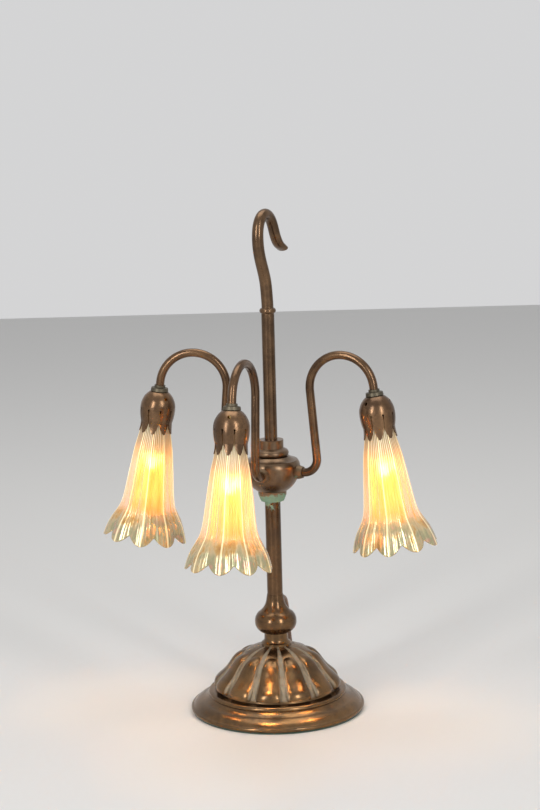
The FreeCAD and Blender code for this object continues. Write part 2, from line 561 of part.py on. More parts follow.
def make_husk(side, drop):
    turned("husk_nut_" + side, [
        ("arm_radius", "0"), ("nut_neck_radius", "0"), ("nut_neck_radius", "nut_neck_end"),
        ("nut_radius", "nut_neck_end + 0.6"), ("nut_foot_radius", "nut_end - 1"),
        ("nut_foot_radius - 0.5", "nut_end"), ("arm_radius", "nut_end"),
    ], drop)
    husk = turned("husk_" + side, [
        ("arm_radius", "nut_end"), ("husk_shoulder_radius", "nut_end"),
        ("husk_radius", "husk_belly", "husk_top_round"),
        ("husk_waist_radius", "husk_waist", "husk_belly_round"),
        ("husk_tip_radius", "husk_tip", "0 - husk_flare_round"),
        ("husk_tip_radius - husk_wall", "husk_tip"),
        ("husk_waist_radius - husk_wall", "husk_waist", "husk_flare_round"),
        ("husk_radius - husk_wall", "husk_belly", "0 - husk_belly_round"),
        ("husk_shoulder_radius - 0.4", "nut_end + husk_wall", "0 - husk_top_round"),
        ("arm_radius", "nut_end + husk_wall"),
    ], drop)
    # one slit with a drilled top end, opening into the pointed gap between two petals
    sketch = sketch_on(husk, "XZ_Plane", "petal_slit")
    half_slit, half_gap = size("slit_width") / 2, math.pi * size("husk_tip_radius") / size("petal_count")
    top, end, tip = size("slit_top"), size("slit_end"), size("husk_tip") + 1.0
    right = [Vector(half_slit, top, 0), Vector(half_slit, end, 0), Vector(half_gap, tip, 0)]
    mirrored = [Vector(-point.x, point.y, 0) for point in reversed(right)]
    curved = -2.2 * (tip - end)
    sketch.addGeometry(Part.LineSegment(right[0], right[1]))
    sketch.addGeometry(arc_between(right[1], right[2], curved))
    sketch.addGeometry(Part.LineSegment(right[2], mirrored[0]))
    sketch.addGeometry(arc_between(mirrored[0], mirrored[1], curved))
    sketch.addGeometry(Part.LineSegment(mirrored[1], mirrored[2]))
    sketch.addGeometry(Part.LineSegment(mirrored[2], right[0]))
    slit = pocket(husk, sketch, "petal_slit_cut")
    repeat_round(husk, slit, "petal_slits", "petal_count")
    drill = sketch_on(husk, "XZ_Plane", "slit_drill",
                      Placement(Vector(0, 0, 0), Rotation()))
    hole = drill.addGeometry(Part.Circle(Vector(0, top, 0), Vector(0, 0, 1), size("slit_drill") / 2))
    mark = drill.addConstraint(Sketcher.Constraint("Radius", hole, size("slit_drill") / 2))
    drill.setExpression("Constraints[%d]" % mark, "dims.slit_drill / 2")
    drilled = pocket(husk, drill, "slit_drill_cut")
    repeat_round(husk, drilled, "slit_drills", "petal_count")
    vent = sketch_on(husk, "XZ_Plane", "vent", Placement(Vector(), Rotation(Vector(0, 1, 0), 20)))
    hole = vent.addGeometry(Part.Circle(Vector(0, size("vent_drop"), 0), Vector(0, 0, 1),
                                        size("vent_diameter") / 2))
    mark = vent.addConstraint(Sketcher.Constraint("Radius", hole, size("vent_diameter") / 2))
    vent.setExpression("Constraints[%d]" % mark, "dims.vent_diameter / 2")
    vented = pocket(husk, vent, "vent_cut")
    repeat_round(husk, vented, "vents", "vent_count")


def make_socket(side, drop):
    turned("socket_shell_" + side, [
        ("arm_bore_radius", "socket_top"), ("socket_radius", "socket_top"),
        ("socket_radius", "socket_end"), ("socket_radius - socket_wall", "socket_end"),
        ("socket_radius - socket_wall", "socket_top + socket_wall"),
        ("arm_bore_radius", "socket_top + socket_wall"),
    ], drop)
    turned("socket_core_" + side, [
        ("wire_radius", "socket_top + socket_wall"), ("core_radius", "socket_top + socket_wall"),
        ("core_radius", "core_end"), ("core_bore_radius", "core_end"),
        ("core_bore_radius", "core_floor"), ("wire_radius", "core_floor"),
    ], drop)
    turned("bulb_cap_" + side, [
        ("0", "bulb_tip_top"), ("bulb_tip_radius", "bulb_tip_top"),
        ("bulb_tip_radius", "bulb_cap_top"), ("bulb_cap_radius", "bulb_cap_top + 1.5"),
        ("bulb_cap_radius", "bulb_cap_end"), ("0", "bulb_cap_end"),
    ], drop)
    turned("bulb_glass_" + side, [
        ("0", "bulb_cap_end"), ("bulb_neck_radius", "bulb_cap_end"),
        ("bulb_neck_radius", "bulb_neck_end"),
        ("bulb_radius", "bulb_belly", "0 - bulb_low_round"),
        ("bulb_tip_flat", "bulb_end", "bulb_end_round"), ("0", "bulb_end"),
    ], drop)


def shade_ring(station, inset):
    """One closed, fluted line round the shade's wall."""
    drop, mean, flute, scallop = station
    lobes = int(size("shade_lobes"))
    points = []
    for step in range(lobes * 4):
        angle = 2 * math.pi * step / (lobes * 4)
        wave = math.cos(lobes * angle)
        radius = mean - inset + flute * wave
        points.append(Vector(radius * math.cos(angle), radius * math.sin(angle), drop + scallop * wave))
    curve = Part.BSplineCurve()
    curve.interpolate(points, PeriodicFlag=True)
    return Part.Wire([curve.toShape()])


def make_shade(side, drop):
    outside = [shade_ring(station, 0.0) for station in SHADE_RINGS]
    inside = [shade_ring(station, size("shade_glass")) for station in SHADE_RINGS]
    faces = list(Part.makeLoft(outside, False, False).Faces)
    faces += list(Part.makeLoft(inside, False, False).Faces)
    faces += list(Part.makeLoft([outside[0], inside[0]], False, True).Faces)
    faces += list(Part.makeLoft([outside[-1], inside[-1]], False, True).Faces)
    shell = Part.Compound(faces)
    shell.sewShape()
    solid = Part.Solid(shell.Shells[0])
    if solid.Volume < 0:
        solid.reverse()
    shade = doc.addObject("Part::Feature", "shade_" + side)
    shade.Label = "shade_" + side
    shade.Shape = solid
    shade.Placement = drop


# ---- cord -------------------------------------------------------------------------------------

def tube_along(edges, radius):
    """Round tube along an open line of edges that follow each other."""
    path = Part.Wire(edges)
    start = path.Edges[0]
    along = start.tangentAt(start.FirstParameter)
    circle = Part.Circle(start.valueAt(start.FirstParameter), along, radius)
    section = Part.Wire([circle.toShape()])
    return path.makePipeShell([section], True, False)


def route_edges(route):
    """Straight runs joined by arcs as large as each pair of runs allows."""
    points = [Vector(*point) for point in route]
    edges, radii, start = [], [], points[0]
    for before, corner, after in zip(points, points[1:], points[2:]):
        came, goes = corner.sub(before), after.sub(corner)
        shorter = min(came.Length, goes.Length)
        turn = came.getAngle(goes)
        set_back = 0.45 * shorter
        radii.append(set_back / math.tan(turn / 2))
        first = corner - Vector(came).normalize() * set_back
        last = corner + Vector(goes).normalize() * set_back
        towards = (first + last) * 0.5 - corner
        depth = radii[-1] / math.cos(turn / 2) - radii[-1]
        middle = corner + Vector(towards).normalize() * depth
        edges.append(Part.LineSegment(start, first).toShape())
        edges.append(Part.Arc(first, middle, last).toShape())
        start = last
    edges.append(Part.LineSegment(start, points[-1]).toShape())
    return edges, radii


def make_cord():
    total = 0.0
    for label, route in (("cord_lead", LEAD_ROUTE), ("cord_link", LINK_ROUTE),
                         ("cord_tail", TAIL_ROUTE)):
        edges, radii = route_edges(route)
        tube = doc.addObject("Part::Feature", label)
        tube.Label = label
        tube.Shape = tube_along(edges, size("cord_radius"))
        length = sum(edge.Length for edge in edges)
        total += length
        share = tube.Shape.Volume / (math.pi * size("cord_radius") ** 2 * length)
        print(label, "length %.1f volume share %.4f smallest radius %.1f" % (length, share, min(radii)),
              "radii", [round(radius, 1) for radius in radii])
    rings = range(4)
    coil_length = 2 * sum(2 * math.pi * (size("coil_bore_radius") + size("cord_radius") * (2 * ring + 1))
                          for ring in rings)
    print("free cord in all %.0f" % (total + coil_length + size("switch_length")))
    middle = Placement(Vector(size("coil_x"), size("coil_y"), 0), Rotation())
    turned("cord_coil", [
        ("coil_bore_radius", "0"), ("coil_radius", "0"), ("coil_radius", "coil_height"),
        ("coil_bore_radius", "coil_height"),
    ], middle)
    stem_wire = doc.addObject("Part::Feature", "stem_wire")
    stem_wire.Label = "stem_wire"
    out = Vector(math.sin(math.radians(size("bushing_bearing"))),
                 math.cos(math.radians(size("bushing_bearing"))), 0)
    level, bend = size("bushing_z"), 2.6
    corner = Vector(0, 0, level)
    first, last = corner + out * bend, corner + Vector(0, 0, bend)
    heart = corner + out * bend + Vector(0, 0, bend)
    middle_point = heart - (out + Vector(0, 0, 1)).normalize() * bend
    edges = [
        Part.LineSegment(corner + out * size("bushing_mouth"), first).toShape(),
        Part.Arc(first, middle_point, last).toShape(),
        Part.LineSegment(last, Vector(0, 0, size("connector_foot_z"))).toShape(),
    ]
    stem_wire.Shape = tube_along(edges, size("wire_radius"))


def rounded_block(label, corner, lengths, rounding, vertical_only=False):
    """Block with rounded corners, from its low corner."""
    block = doc.addObject("Part::Box", label + "_block")
    for name, alias in zip(("Length", "Width", "Height"), lengths):
        block.setExpression(name, "dims." + alias)
    block.Placement = Placement(corner, Rotation())
    doc.recompute()
    edges = []
    for index, edge in enumerate(block.Shape.Edges, start=1):
        run = edge.Vertexes[1].Point.sub(edge.Vertexes[0].Point)
        if not vertical_only or abs(run.z) > 1e-6:
            edges.append((index, rounding, rounding))
    soft = doc.addObject("Part::Fillet", label + "_soft")
    soft.Base = block
    soft.Edges = edges
    doc.recompute()
    return soft


def make_switch():
    low = Vector(size("switch_x") - size("switch_length") / 2,
                 size("switch_y") - size("switch_width") / 2, 0)
    case = rounded_block("switch_case", low, ("switch_length", "switch_width", "switch_height"),
                         size("switch_corner"), True)
    slot = doc.addObject("Part::Cylinder", "wheel_slot")
    slot.setExpression("Radius", "dims.wheel_slot_radius")
    slot.setExpression("Height", "dims.wheel_slot")
    axis = Vector(size("switch_x"), size("switch_y") + size("wheel_offset"), 0)
    slot.Placement = Placement(
        axis + Vector(0, 0, (size("switch_height") - size("wheel_slot")) / 2), Rotation())
    body = doc.addObject("Part::Cut", "switch_body")
    body.Base = case
    body.Tool = slot
    body.Label = "switch_body"
    lift = (size("switch_height") - size("wheel_thick")) / 2
    turned("switch_wheel", [
        ("pin_radius + pin_clearance", "0"), ("wheel_radius - 0.5", "0"), ("wheel_radius", "0.5"),
        ("wheel_radius", "wheel_thick - 0.5"), ("wheel_radius - 0.5", "wheel_thick"),
        ("pin_radius + pin_clearance", "wheel_thick"),
    ], Placement(axis + Vector(0, 0, lift), Rotation()))
    turned("switch_pin", [
        ("0", "0"), ("pin_radius", "0"), ("pin_radius", "wheel_slot"), ("0", "wheel_slot"),
    ], Placement(axis + Vector(0, 0, (size("switch_height") - size("wheel_slot")) / 2), Rotation()))


def make_plug():
    level = size("coil_height")
    low = Vector(size("plug_x") - size("plug_length") / 2, size("plug_y") - size("plug_width") / 2, level)
    body = rounded_block("plug", low, ("plug_length", "plug_width", "plug_height"), size("plug_round"))
    body.Label = "plug_body"
    blades = []
    for hand in (-1, 1):
        blade = doc.addObject("Part::Box", "blade")
        blade.setExpression("Length", "dims.blade_length")
        blade.setExpression("Width", "dims.blade_thick")
        blade.setExpression("Height", "dims.blade_width")
        blade.Placement = Placement(Vector(
            low.x - size("blade_length"),
            size("plug_y") + hand * size("blade_gap") / 2 - size("blade_thick") / 2,
            level + (size("plug_height") - size("blade_width")) / 2), Rotation())
        blades.append(blade)
    pair = doc.addObject("Part::Compound", "plug_blades")
    pair.Label = "plug_blades"
    pair.Links = blades


# ---- the lamp ---------------------------------------------------------------------------------

make_foot()
make_stem()
make_hub()
make_rod()
for lamp_side in SIDES:
    arm_turn = Placement(Vector(), Rotation(Vector(0, 0, 1), bearing_angle(lamp_side)))
    lean_out = math.radians(size("shade_tilt"))
    arch_end_point = arm_line()[5]
    hang = Vector(arch_end_point.x + math.sin(lean_out) * size("collar_drop"), 0,
                  arch_end_point.y - math.cos(lean_out) * size("collar_drop"))
    hang_turn = Rotation(Vector(0, 1, 0), 180 - size("shade_tilt"))
    down_axis = arm_turn * Placement(hang, hang_turn)
    make_arm(lamp_side, arm_turn)
    make_husk(lamp_side, down_axis)
    make_socket(lamp_side, down_axis)
    make_shade(lamp_side, down_axis)
make_cord()
make_switch()
make_plug()
doc.recompute()

NODES = [
    "felt_pad", "base_shell", "base_weight", "base_washer", "base_lock_nut", "neck_collar",
    "stem_knop", "stem_tube", "lamp_pipe", "cord_bushing", "stem_wire", "hub_cup", "hub_body",
    "hub_lock_nut", "hub_cap", "wire_connector", "upper_rod", "rod_bead", "hook", "cord_lead", "cord_link",
    "cord_coil", "cord_tail", "switch_body", "switch_wheel", "switch_pin", "plug_body", "plug_blades",
]
for lamp_side in SIDES:
    NODES += [piece + "_" + lamp_side for piece in (
        "arm", "arm_boss", "arm_wire", "husk_nut", "husk", "socket_shell", "socket_core",
        "bulb_cap", "bulb_glass", "shade")]

for item in doc.Objects:
    if "Invalid" in item.State or "Error" in item.State:
        raise ValueError(item.Name + " failed: " + " ".join(item.State))

os.makedirs("parts", exist_ok=True)
for node in NODES:
    piece = doc.getObjectsByLabel(node)[0]
    if piece.Shape.isNull() or not piece.Shape.isValid():
        raise ValueError(node + " has no valid shape")
    piece.Shape.exportStep("parts/" + node + ".step")
    box = piece.Shape.BoundBox
    print("%-20s solids %d volume %.0f z %.1f..%.1f" % (
        node, len(piece.Shape.Solids), piece.Shape.Volume, box.ZMin, box.ZMax))
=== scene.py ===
import math

import bpy
from mathutils import Matrix, Vector


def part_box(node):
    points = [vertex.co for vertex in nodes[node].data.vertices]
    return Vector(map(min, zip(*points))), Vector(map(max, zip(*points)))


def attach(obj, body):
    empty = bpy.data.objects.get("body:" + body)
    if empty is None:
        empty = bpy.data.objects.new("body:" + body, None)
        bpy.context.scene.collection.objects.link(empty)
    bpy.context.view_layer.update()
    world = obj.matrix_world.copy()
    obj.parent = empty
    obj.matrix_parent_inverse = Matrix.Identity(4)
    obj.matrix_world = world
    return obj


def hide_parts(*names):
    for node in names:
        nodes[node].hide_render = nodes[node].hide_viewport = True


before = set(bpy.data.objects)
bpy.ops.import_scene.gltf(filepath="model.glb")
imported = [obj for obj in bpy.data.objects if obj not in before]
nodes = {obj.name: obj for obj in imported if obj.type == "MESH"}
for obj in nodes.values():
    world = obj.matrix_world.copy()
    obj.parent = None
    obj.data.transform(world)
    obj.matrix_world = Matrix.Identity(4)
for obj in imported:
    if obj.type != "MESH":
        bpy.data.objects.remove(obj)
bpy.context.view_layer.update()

# ---- camera -------------------------------------------------------------------------------------
# The photograph was taken from a little above the shades with a long lens. The lamp's stem leans
# a degree and a half to the left in it, which is a roll of the camera.

camera_place = Vector((-0.0001, -1.900, 0.630))
camera_lens = 90.7
camera_sensor = 36.0
camera_pitch = math.radians(9.94)
camera_roll = math.radians(-1.50)
farthest_seen = 20.0

camera_data = bpy.data.cameras.new("camera")
camera_data.lens = camera_lens
camera_data.sensor_width = camera_sensor
camera_data.clip_end = farthest_seen
camera = bpy.data.objects.new("camera", camera_data)
bpy.context.scene.collection.objects.link(camera)
look = Matrix.Rotation(math.pi / 2 - camera_pitch, 4, "X") @ Matrix.Rotation(camera_roll, 4, "Z")
camera.matrix_world = Matrix.Translation(camera_place) @ look
bpy.context.scene.camera = camera
bpy.context.scene.view_settings.view_transform = "Standard"

# ---- stage --------------------------------------------------------------------------------------
# A plain pale table top, a pale grey backdrop that metal and glass see too, and soft studio lamps:
# two tall ones in front, left and right, and a broad one overhead.


def new_material(name):
    """A new material, its node tree and its one shader, which already feeds the surface."""
    material = bpy.data.materials.new(name)
    material.use_nodes = True
    tree = material.node_tree
    tree.nodes.clear()
    output = tree.nodes.new("ShaderNodeOutputMaterial")
    shader = tree.nodes.new("ShaderNodeBsdfPrincipled")
    tree.links.new(shader.outputs["BSDF"], output.inputs["Surface"])
    return material, tree, shader


def reckon(tree, operation, first, second=None, third=None, clamp=False):
    """One sum on sockets or plain numbers."""
    sum_node = tree.nodes.new("ShaderNodeMath")
    sum_node.operation = operation
    sum_node.use_clamp = clamp
    for index, value in enumerate((first, second, third)):
        if value is None:
            continue
        if isinstance(value, (int, float)):
            sum_node.inputs[index].default_value = value
        else:
            tree.links.new(value, sum_node.inputs[index])
    return sum_node.outputs[0]


table_paint, tree, shader = new_material("table_paint")
shader.inputs["Base Color"].default_value = (0.74, 0.725, 0.70, 1)
shader.inputs["Roughness"].default_value = 0.45

table_reach = 3.0
corners = [(x * table_reach, y * table_reach, 0) for x, y in ((-1, -1), (1, -1), (1, 1), (-1, 1))]
table_mesh = bpy.data.meshes.new("table_top")
table_mesh.from_pydata(corners, [], [(0, 1, 2, 3)])
table_mesh.materials.append(table_paint)
table_top = bpy.data.objects.new("table_top", table_mesh)
bpy.context.scene.collection.objects.link(table_top)

studio_light = (0.95, 0.97, 1.0, 1)
studio_strength = 0.42
backdrop_grey = (0.66, 0.66, 0.665, 1)
backdrop_strength = 1.0

world = bpy.data.worlds.new("studio")
bpy.context.scene.world = world
world.use_nodes = True
tree = world.node_tree
tree.nodes.clear()
output = tree.nodes.new("ShaderNodeOutputWorld")
rays = tree.nodes.new("ShaderNodeLightPath").outputs
seen_or_glossy = reckon(tree, "MAXIMUM", rays["Is Camera Ray"], rays["Is Glossy Ray"])
shows_backdrop = reckon(tree, "MAXIMUM", seen_or_glossy, rays["Is Transmission Ray"])
choose = tree.nodes.new("ShaderNodeMixShader")
tree.links.new(shows_backdrop, choose.inputs["Fac"])
for socket, colour, strength in ((1, studio_light, studio_strength),
                                 (2, backdrop_grey, backdrop_strength)):
    background = tree.nodes.new("ShaderNodeBackground")
    background.inputs["Color"].default_value = colour
    background.inputs["Strength"].default_value = strength
    tree.links.new(background.outputs["Background"], choose.inputs[socket])
tree.links.new(choose.outputs["Shader"], output.inputs["Surface"])

lamp_middle = Vector((0, 0, 0.2))
SOFTBOXES = {
    # place, width and height in metres, power in watts
    "softbox_left": ((-1.1, -1.6, 1.0), 0.22, 1.3, 16),
    "softbox_right": ((1.0, -1.7, 1.0), 0.22, 1.3, 14),
    "softbox_above": ((0, 0.3, 2.2), 1.8, 1.4, 18),
}
for name, (place, wide, tall, power) in SOFTBOXES.items():
    light = bpy.data.lights.new(name, "AREA")
    light.shape = "RECTANGLE"
    light.size = wide
    light.size_y = tall
    light.energy = power
    softbox = bpy.data.objects.new(name, light)
    softbox.location = place
    softbox.rotation_euler = (lamp_middle - Vector(place)).to_track_quat("-Z", "Y").to_euler()
    bpy.context.scene.collection.objects.link(softbox)

# ---- foot ---------------------------------------------------------------------------------------
# The foot is a cast and chased bronze dome with twelve swelling gadroons, brown from its patina.
# Between the gadroons the metal is dull and grey-green, and their crests are rubbed to copper.


def position(tree):
    """A point of a piece in the piece's own coordinates, in metres."""
    return tree.nodes.new("ShaderNodeTexCoord").outputs["Object"]


def axes_of(tree, vector):
    """X, Y and Z of a vector, each by itself."""
    split = tree.nodes.new("ShaderNodeSeparateXYZ")
    tree.links.new(vector, split.inputs[0])
    return split.outputs


def cloud(tree, vector, scale, detail=4.0, roughness=0.55, stretch=None):
    """Soft noise from 0 to 1 at so many blotches to the metre."""
    if stretch is not None:
        squeeze = tree.nodes.new("ShaderNodeMapping")
        squeeze.inputs["Scale"].default_value = stretch
        tree.links.new(vector, squeeze.inputs["Vector"])
        vector = squeeze.outputs["Vector"]
    noise = tree.nodes.new("ShaderNodeTexNoise")
    noise.inputs["Scale"].default_value = scale
    noise.inputs["Detail"].default_value = detail
    noise.inputs["Roughness"].default_value = roughness
    tree.links.new(vector, noise.inputs["Vector"])
    return noise.outputs["Fac"]


def ramp(tree, value, low, high, to_low=0.0, to_high=1.0):
    """A value stretched from one range to another, with soft ends."""
    stretch = tree.nodes.new("ShaderNodeMapRange")
    stretch.interpolation_type = "SMOOTHSTEP"
    limits = (("From Min", low), ("From Max", high), ("To Min", to_low), ("To Max", to_high))
    for name, number in limits:
        stretch.inputs[name].default_value = number
    tree.links.new(value, stretch.inputs["Value"])
    return stretch.outputs["Result"]


def blend_colour(tree, share, first, second):
    """First colour where the share is 0, second where it is 1."""
    mix = tree.nodes.new("ShaderNodeMix")
    mix.data_type = "RGBA"
    for name, value in (("Factor", share), ("A", first), ("B", second)):
        target = [socket for socket in mix.inputs if socket.name == name and socket.enabled][0]
        if isinstance(value, tuple):
            target.default_value = (*value, 1)
        else:
            tree.links.new(value, target)
    return [socket for socket in mix.outputs if socket.enabled][0]


def tinted(colour, share):
    """A colour made darker by a share under 1, or lighter by one over it."""
    return tuple(part * share for part in colour)


def bump(tree, shader, height, distance, strength=1.0):
    """Fine relief of a shader, so many metres deep at full height."""
    relief = tree.nodes.new("ShaderNodeBump")
    relief.inputs["Strength"].default_value = strength
    relief.inputs["Distance"].default_value = distance
    tree.links.new(height, relief.inputs["Height"])
    tree.links.new(relief.outputs["Normal"], shader.inputs["Normal"])
    return relief.outputs["Normal"]


VERDIGRIS = (0.23, 0.38, 0.26)
GREY_CRUST = (0.27, 0.225, 0.155)
# blotches to the metre in the layers of the patina
broad_blotches = 38.0
green_blotches = 95.0
fine_blotches = 260.0
pit_blotches = 900.0
# level of the noise at which green starts, for a bare share of 0, and what a full share takes off it
green_start = 0.80
green_gain = 0.45
green_edge = 0.10
patina_metal = 0.92
crust_metal = 0.12
patina_depth = 0.0004


def patina(name, brown, warm, green_share, green_mask=None, crust_mask=None, polish=0.30):
    """Bronze with a brown patina that is warm where rubbed, with crust and verdigris by mask."""
    material, tree, shader = new_material(name)
    place = position(tree)
    axes = axes_of(tree, place)
    broad = cloud(tree, place, broad_blotches, 5.0, 0.6)
    fine = cloud(tree, place, fine_blotches, 6.0, 0.65)
    pits = cloud(tree, place, pit_blotches, 2.0, 0.5)
    mottle = reckon(tree, "MULTIPLY_ADD", fine, 0.35, reckon(tree, "MULTIPLY", broad, 0.75))
    colour = blend_colour(tree, ramp(tree, mottle, 0.40, 0.72), brown, warm)
    dark_specks = ramp(tree, fine, 0.60, 0.74, 0.0, 0.55)
    colour = blend_colour(tree, dark_specks, colour, tinted(brown, 0.45))
    crust = 0.0
    if crust_mask is not None:
        crust = reckon(tree, "MULTIPLY", crust_mask(tree, axes),
                       ramp(tree, fine, 0.30, 0.62, 0.55, 1.0), clamp=True)
        colour = blend_colour(tree, crust, colour, GREY_CRUST)
    seeds = cloud(tree, place, green_blotches, 6.0, 0.7)
    if green_mask is not None:
        drift = reckon(tree, "ADD", green_mask(tree, axes), -0.5)
        seeds = reckon(tree, "MULTIPLY_ADD", drift, 0.6, seeds)
    least = green_start - green_gain * green_share
    green = ramp(tree, seeds, least, least + green_edge)
    green_tint = blend_colour(tree, fine, tinted(VERDIGRIS, 0.6), VERDIGRIS)
    colour = blend_colour(tree, green, colour, green_tint)
    tree.links.new(colour, shader.inputs["Base Color"])
    dull = reckon(tree, "MAXIMUM", green, crust)
    tree.links.new(ramp(tree, dull, 0.0, 1.0, patina_metal, crust_metal), shader.inputs["Metallic"])
    shine = reckon(tree, "MULTIPLY_ADD", broad, 0.16, polish - 0.05)
    rough = reckon(tree, "MULTIPLY_ADD", dull, 0.40, shine, clamp=True)
    tree.links.new(rough, shader.inputs["Roughness"])
    relief = reckon(tree, "MULTIPLY_ADD", green, 0.8, reckon(tree, "MULTIPLY_ADD", pits, 0.25, fine))
    bump(tree, shader, relief, patina_depth, strength=0.22)
    return material


def dress(material, *names):
    """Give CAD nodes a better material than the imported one."""
    for name in names:
        mesh = nodes[name].data
        mesh.materials.clear()
        mesh.materials.append(material)


gadroon_count = 12
gadroon_bearing = math.radians(6.0)
gadroon_foot = 0.0215
gadroon_top = 0.0620
crust_fades_in = 0.004
crust_fades_out = 0.003


def between_gadroons(tree, axes):
    """1 along the dull bands between two gadroons, 0 on their crests and off the dome."""
    around = reckon(tree, "ARCTAN2", axes["Y"], axes["X"])
    turned = reckon(tree, "MULTIPLY_ADD", around, gadroon_count,
                    -gadroon_count * (gadroon_bearing - math.radians(90)))
    band = ramp(tree, reckon(tree, "COSINE", turned), 0.45, 0.92)
    above_foot = ramp(tree, axes["Z"], gadroon_foot, gadroon_foot + crust_fades_in)
    below_top = ramp(tree, axes["Z"], gadroon_top, gadroon_top + crust_fades_out, 1.0, 0.0)
    return reckon(tree, "MULTIPLY", band, reckon(tree, "MULTIPLY", above_foot, below_top))


base_bronze = patina("base_bronze", (0.105, 0.064, 0.034), (0.235, 0.130, 0.055), 0.05,
                     crust_mask=between_gadroons, polish=0.20)
dress(base_bronze, "base_shell", "neck_collar")

# ---- foot, inside and under ---------------------------------------------------------------------
# A cast iron weight steadies the lamp, clamped up into the dome by a washer and a nut on the lamp
# pipe, and a disc of green felt closes the foot.


def plain_metal(name, colour, roughness):
    """Bare turned or cast metal with a little uneven shine."""
    material, tree, shader = new_material(name)
    spots = cloud(tree, position(tree), 180.0, 5.0)
    tree.links.new(blend_colour(tree, spots, tinted(colour, 0.75), colour), shader.inputs["Base Color"])
    shader.inputs["Metallic"].default_value = 1.0
    uneven = reckon(tree, "MULTIPLY_ADD", spots, 0.2, roughness - 0.1)
    tree.links.new(uneven, shader.inputs["Roughness"])
    return material


dress(plain_metal("cast_iron", (0.09, 0.09, 0.095), 0.7), "base_weight")
zinc_steel = plain_metal("zinc_steel", (0.55, 0.56, 0.58), 0.35)
dress(zinc_steel, "base_washer", "base_lock_nut", "hub_lock_nut", "lamp_pipe")

fibres_to_the_metre = 1400.0
felt_depth = 0.0005
felt, tree, shader = new_material("green_felt")
fibres = cloud(tree, position(tree), fibres_to_the_metre, 8.0, 0.8)
tree.links.new(blend_colour(tree, fibres, (0.012, 0.03, 0.018), (0.035, 0.075, 0.045)),
               shader.inputs["Base Color"])
shader.inputs["Roughness"].default_value = 0.95
shader.inputs["Sheen Weight"].default_value = 0.5
bump(tree, shader, fibres, felt_depth)
dress(felt, "felt_pad")

# ---- stem ---------------------------------------------------------------------------------------
# The stem is a turned knop and a plain tube over the lamp pipe, dark brown and well rubbed. Its
# top has gone green under the hub's cup.

stem_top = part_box("stem_tube")[1].z
damp_below = 0.030
damp_above = 0.004


def under_the_cup(tree, axes):
    """Towards 1 just below the hub, where damp has sat."""
    return ramp(tree, axes["Z"], stem_top - damp_below, stem_top + damp_above, 0.1, 0.95)


stem_bronze = patina("stem_bronze", (0.090, 0.052, 0.030), (0.175, 0.095, 0.046), 0.30,
                     green_mask=under_the_cup, polish=0.20)
knop_bronze = patina("knop_bronze", (0.085, 0.050, 0.028), (0.20, 0.110, 0.050), 0.04, polish=0.17)
dress(stem_bronze, "stem_tube")
dress(knop_bronze, "stem_knop")

# ---- hub ----------------------------------------------------------------------------------------
# The hub is a hollow cast bulb on a small cup, closed by a ringed cap. The arms screw into it
# through little cone bosses. Cup and bosses are the greenest places of the lamp.

cup_green_height = 0.016


def low_on_the_cup(tree, axes):
    """Highest at the cup's foot."""
    return ramp(tree, axes["Z"], stem_top, stem_top + cup_green_height, 1.1, 0.2)


cup_bronze = patina("cup_bronze", (0.16, 0.105, 0.065), (0.22, 0.145, 0.085), 0.42,
                    green_mask=low_on_the_cup, polish=0.42)
hub_bronze = patina("hub_bronze", (0.120, 0.078, 0.048), (0.235, 0.150, 0.085), 0.16, polish=0.27)
boss_bronze = patina("boss_bronze", (0.15, 0.10, 0.06), (0.21, 0.14, 0.08), 0.48, polish=0.45)
dress(cup_bronze, "hub_cup")
dress(hub_bronze, "hub_body", "hub_cap")

# ---- rod and hook -------------------------------------------------------------------------------
# A solid rod screws into the cap and ends in a bead. The forged hook above it is the handle that
# the lamp is carried or hung by. All three are brown, with a few specks of green.

rod_bronze = patina("rod_bronze", (0.095, 0.058, 0.035), (0.185, 0.110, 0.060), 0.12, polish=0.22)
dress(rod_bronze, "upper_rod", "rod_bead", "hook")

# ---- arms ---------------------------------------------------------------------------------------
# Each arm is one bent tube: straight into the hub, up a leg and over an arch to the shade. The
# boss at the hub and the collar nut over the shade are greener than the tube between them.

SIDES = ("left", "middle", "right")
arm_bronze = patina("arm_bronze", (0.098, 0.058, 0.034), (0.190, 0.108, 0.056), 0.14, polish=0.22)
collar_bronze = patina("collar_bronze", (0.10, 0.085, 0.060), (0.15, 0.125, 0.085), 0.34, polish=0.42)
for side in SIDES:
    dress(arm_bronze, "arm_" + side)
    dress(boss_bronze, "arm_boss_" + side)
    dress(collar_bronze, "husk_nut_" + side)

# ---- husks --------------------------------------------------------------------------------------
# A husk is a spun cup cut into nine petals, each slit ending in a drilled hole. The petals spring
# on the neck of the glass. The rubbed brown is warmer than on the arms.

husk_bronze = patina("husk_bronze", (0.115, 0.068, 0.040), (0.235, 0.135, 0.070), 0.08, polish=0.24)
for side in SIDES:
    dress(husk_bronze, "husk_" + side)

# ---- sockets and bulbs --------------------------------------------------------------------------
# A brass shell with a porcelain core sits under each husk and takes a small screw bulb, which is
# lit and glows warm through the glass.


def speckled(name, blotches, first, second, roughness):
    """A smooth surface of one colour with faint blotches of another."""
    material, tree, shader = new_material(name)
    spots = cloud(tree, position(tree), blotches)
    tree.links.new(blend_colour(tree, spots, first, second), shader.inputs["Base Color"])
    shader.inputs["Roughness"].default_value = roughness
    return material


bright_brass = plain_metal("bright_brass", (0.70, 0.50, 0.20), 0.25)
porcelain = speckled("porcelain", 300.0, (0.72, 0.70, 0.66), (0.82, 0.80, 0.76), 0.2)

